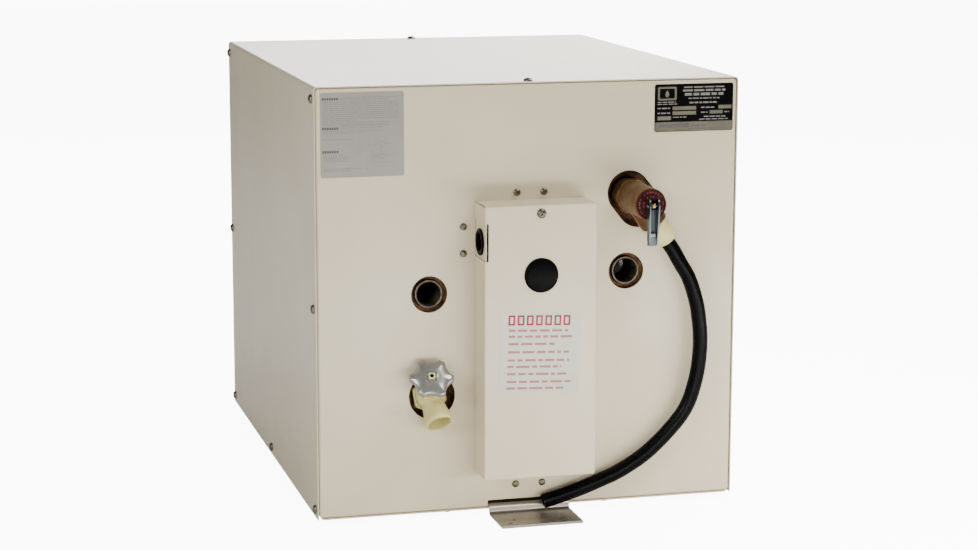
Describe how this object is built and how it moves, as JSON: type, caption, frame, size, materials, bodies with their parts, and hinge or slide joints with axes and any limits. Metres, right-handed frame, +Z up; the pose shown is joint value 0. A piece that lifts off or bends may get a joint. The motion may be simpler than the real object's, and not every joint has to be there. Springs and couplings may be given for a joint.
{
  "type": "tank water heater",
  "caption": "Box-cased electric tank water heater with recessed pipe ports, a relief valve with a discharge hose, a drain valve, a junction cover and mounting feet.",
  "frame": {"origin": "middle of the footprint of the whole heater without its hose, on the surface it stands on", "axes": "+Z up, the front panel with the ports faces -Y, +X to the right seen from the front"},
  "size_m": [0.4316, 0.6448, 0.4282],
  "materials": {
    "ivory_paint": "semi-gloss baked enamel",
    "steel": "plain steel",
    "stainless": "satin stainless",
    "foam": "rigid foam skin",
    "bronze": "dull cast bronze",
    "brass": "turned",
    "copper": "copper sheath",
    "nylon": "cream nylon",
    "knob": "silver-grey moulded",
    "black_plastic": "moulded",
    "rubber": "black rubber",
    "hose_rubber": "glossy black hose",
    "dark_red": "moulded",
    "red_plastic": "moulded",
    "white_plastic": "moulded",
    "label_grey": "printed film",
    "label_black": "printed foil",
    "nickel": "nickel plated",
    "green_metal": "green screw"
  },
  "bodies": {
    "heater": {"wrap_cover": "ivory_paint", "front_panel": "ivory_paint", "rear_panel": "ivory_paint", "base_pan": "ivory_paint", "front_bracket": "stainless", "rear_bracket": "stainless", "tank_shell": "steel", "hot_coupling": "steel", "cold_coupling": "steel", "drain_coupling": "steel", "relief_coupling": "steel", "dip_tube": "white_plastic", "front_cradle": "steel", "rear_cradle": "steel", "foam_upper": "foam", "foam_lower": "foam", "relief_valve_body": "bronze", "relief_disc_plate": "dark_red", "relief_spring": "nickel", "relief_probe": "copper", "hose_adapter": "nylon", "discharge_hose": "hose_rubber", "drain_valve_body": "nylon", "drain_bonnet": "nylon", "heating_element": "copper", "element_gasket": "rubber", "thermostat": "black_plastic", "thermostat_clip": "nickel", "wire_line": "rubber", "wire_neutral": "white_plastic", "cover_bracket_top": "steel", "cover_bracket_bottom": "steel", "cable_plate": "ivory_paint", "cable_bushing": "black_plastic", "ground_screw": "green_metal", "instruction_label": "label_grey", "rating_plate": "label_black", "panel_screw_top_left": "nickel", "panel_screw_top_right": "nickel", "panel_screw_bottom_left": "nickel", "panel_screw_bottom_right": "nickel", "panel_screw_plate_upper": "nickel", "panel_screw_plate_lower": "nickel", "casing_screw_left_top": "nickel", "casing_screw_right_top": "nickel", "casing_screw_left_middle": "nickel", "casing_screw_right_middle": "nickel", "casing_screw_left_bottom": "nickel", "casing_screw_right_bottom": "nickel"},
    "relief_stem": {"relief_stem": "brass", "lever_pin": "brass"},
    "relief_lever": {"relief_lever": "steel"},
    "drain_washer": {"drain_washer": "rubber"},
    "drain_knob": {"drain_stem": "nylon", "drain_knob": "knob"},
    "reset_button": {"reset_button": "red_plastic"},
    "cover": {"junction_cover": "ivory_paint", "cover_label": "label_grey", "cover_screw": "nickel"},
    "plug": {"hole_plug": "black_plastic"}
  },
  "joints": [
    {"name": "stem_lift", "type": "slide", "parent": "heater", "child": "relief_stem", "axis": [0, -1, 0], "range_m": [0, 0.0026], "stiffness_N_per_m": 800, "springref_m": -0.004},
    {"name": "lever_swing", "type": "hinge", "parent": "relief_stem", "child": "relief_lever", "pos_m": [0.1025, -0.3173, 0.3139], "axis": [-1, 0, 0], "range_deg": [0, 90]},
    {"name": "drain_backoff", "type": "slide", "parent": "heater", "child": "drain_washer", "axis": [-0.1127, -0.7431, 0.6596], "range_m": [0, 0.004]},
    {"name": "drain_turn", "type": "hinge", "parent": "drain_washer", "child": "drain_knob", "pos_m": [-0.0997, -0.2426, 0.1239], "axis": [-0.1127, -0.7431, 0.6596], "range_deg": [0, 720]},
    {"name": "reset_press", "type": "slide", "parent": "heater", "child": "reset_button", "axis": [0, 1, 0], "range_m": [0, 0.0015], "stiffness_N_per_m": 300, "springref_m": -0.001},
    {"name": "cover_off", "type": "slide", "parent": "heater", "child": "cover", "axis": [0, -1, 0], "range_m": [0, 0.06]},
    {"name": "plug_out", "type": "slide", "parent": "cover", "child": "plug", "axis": [0, -1, 0], "range_m": [0, 0.02]}
  ],
  "couplings": [
    {"joint": "lever_swing", "follows": "stem_lift", "rad_per_m": 604.09},
    {"joint": "drain_turn", "follows": "drain_backoff", "rad_per_m": 3141.3}
  ]
}
